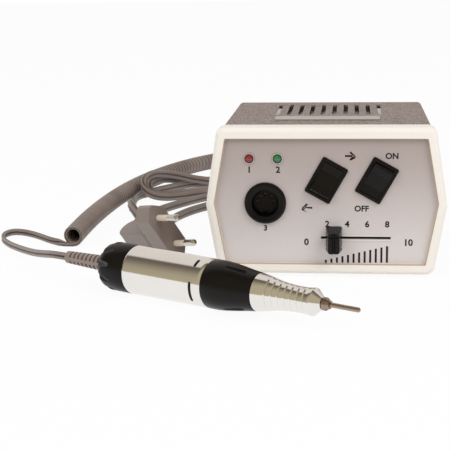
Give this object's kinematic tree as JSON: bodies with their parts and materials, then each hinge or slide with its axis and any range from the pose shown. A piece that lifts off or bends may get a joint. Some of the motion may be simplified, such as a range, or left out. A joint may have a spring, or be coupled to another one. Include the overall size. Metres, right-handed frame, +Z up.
{
  "type": "nail drill machine",
  "caption": "Desktop nail drill: sheet metal control box with a moulded front bezel, rocker switches and a slide control, a handpiece on a curly cord, and a flat mains cord with plug.",
  "frame": {"origin": "centre of the control box's footprint, on the table under its feet", "axes": "+X to the right seen from the front panel, +Y to the rear, +Z up"},
  "size_m": [0.2678, 0.4614, 0.081],
  "materials": {
    "bezel": "smooth moulded",
    "cover_paint": "fine textured paint",
    "panel_paint": "satin paint with printed marks",
    "plate": "brushed",
    "steel": "zinc plated",
    "bright": "polished nickel plate",
    "tin": "bare brass",
    "barrel_metal": "polished",
    "black_gloss": "gloss moulded",
    "black_matte": "fine matt",
    "rubber": "matt",
    "cord": "satin flexible plastic",
    "plug_plastic": "satin moulded",
    "cream": "smooth moulded",
    "red_lens": "tinted lens",
    "green_lens": "tinted lens",
    "board": "solder resist",
    "copper": "varnished copper wire",
    "lamination": "varnished sheet"
  },
  "bodies": {
    "machine": {"front_bezel": "bezel", "top_cover": "cover_paint", "bottom_tray": "cover_paint", "vent_tray": "steel", "name_plate": "plate", "rubber_feet": "rubber", "case_screws": "steel", "front_panel": "panel_paint", "rear_panel": "panel_paint", "led_red": "red_lens", "led_green": "green_lens", "led_holders": "bright", "din_socket_body": "black_gloss", "din_socket_insert": "black_matte", "din_socket_contacts": "tin", "din_socket_nut": "steel", "direction_switch_frame": "black_matte", "power_switch_frame": "black_matte", "switch_terminals": "tin", "slide_pot_body": "steel", "circuit_board": "board", "board_standoffs": "steel", "capacitor": "black_matte", "heat_sink": "plate", "power_transistor": "black_matte", "transformer_core": "lamination", "transformer_coil": "copper", "transformer_bracket": "steel", "inner_screws": "steel", "mains_bush": "cord", "cord_relief": "cord", "rear_cap": "black_gloss", "motor_barrel": "barrel_metal", "motor_can": "steel", "bearing_outer_rings": "steel", "spindle_housing": "steel", "handpiece_lead": "cord", "curly_cord": "cord", "plug_lead": "cord", "din_plug_grip": "plug_plastic", "din_plug_shell": "bright", "din_plug_pins": "tin", "mains_cord": "cord", "mains_plug_body": "plug_plastic", "mains_plug_pins": "bright", "mains_plug_sleeves": "cream"},
    "direction_rocker": {"direction_rocker": "black_gloss"},
    "power_rocker": {"power_rocker": "black_gloss"},
    "speed_slider": {"slider_lever": "steel", "slider_knob": "black_gloss"},
    "front_sleeve": {"grip_sleeve": "black_gloss", "nose_cone": "barrel_metal", "lock_ring": "steel"},
    "rotor": {"motor_rotor": "lamination", "shaft_coupling": "tin", "spindle": "steel", "bearing_inner_rings": "steel"},
    "collet": {"collet": "bright"},
    "bit": {"drill_bit": "bright"}
  },
  "joints": [
    {"name": "direction_rocker_tilt", "type": "hinge", "parent": "machine", "child": "direction_rocker", "pos_m": [0.0004, -0.0599, 0.0525], "axis": [0.8721, 0, -0.4894], "range_deg": [0, 24]},
    {"name": "power_rocker_tilt", "type": "hinge", "parent": "machine", "child": "power_rocker", "pos_m": [0.0268, -0.0599, 0.0525], "axis": [0.8721, 0, -0.4894], "range_deg": [-24, 0]},
    {"name": "speed_slide", "type": "slide", "parent": "machine", "child": "speed_slider", "axis": [1, 0, 0], "range_m": [-0.00354, 0.02646]},
    {"name": "sleeve_twist", "type": "hinge", "parent": "machine", "child": "front_sleeve", "pos_m": [-0.04304, -0.126, 0.0126], "axis": [0.866, -0.5, 0], "range_deg": [0, 55]},
    {"name": "rotor_spin", "type": "hinge", "parent": "machine", "child": "rotor", "pos_m": [-0.04304, -0.126, 0.0126], "axis": [0.866, -0.5, 0], "continuous": true},
    {"name": "collet_shift", "type": "slide", "parent": "rotor", "child": "collet", "axis": [0.866, -0.5, 0], "range_m": [0, 0.0008]},
    {"name": "bit_draw", "type": "slide", "parent": "collet", "child": "bit", "axis": [0.866, -0.5, 0], "range_m": [0, 0.022]}
  ],
  "couplings": [
    {"joint": "collet_shift", "follows": "sleeve_twist", "m_per_rad": 0.00083339}
  ]
}
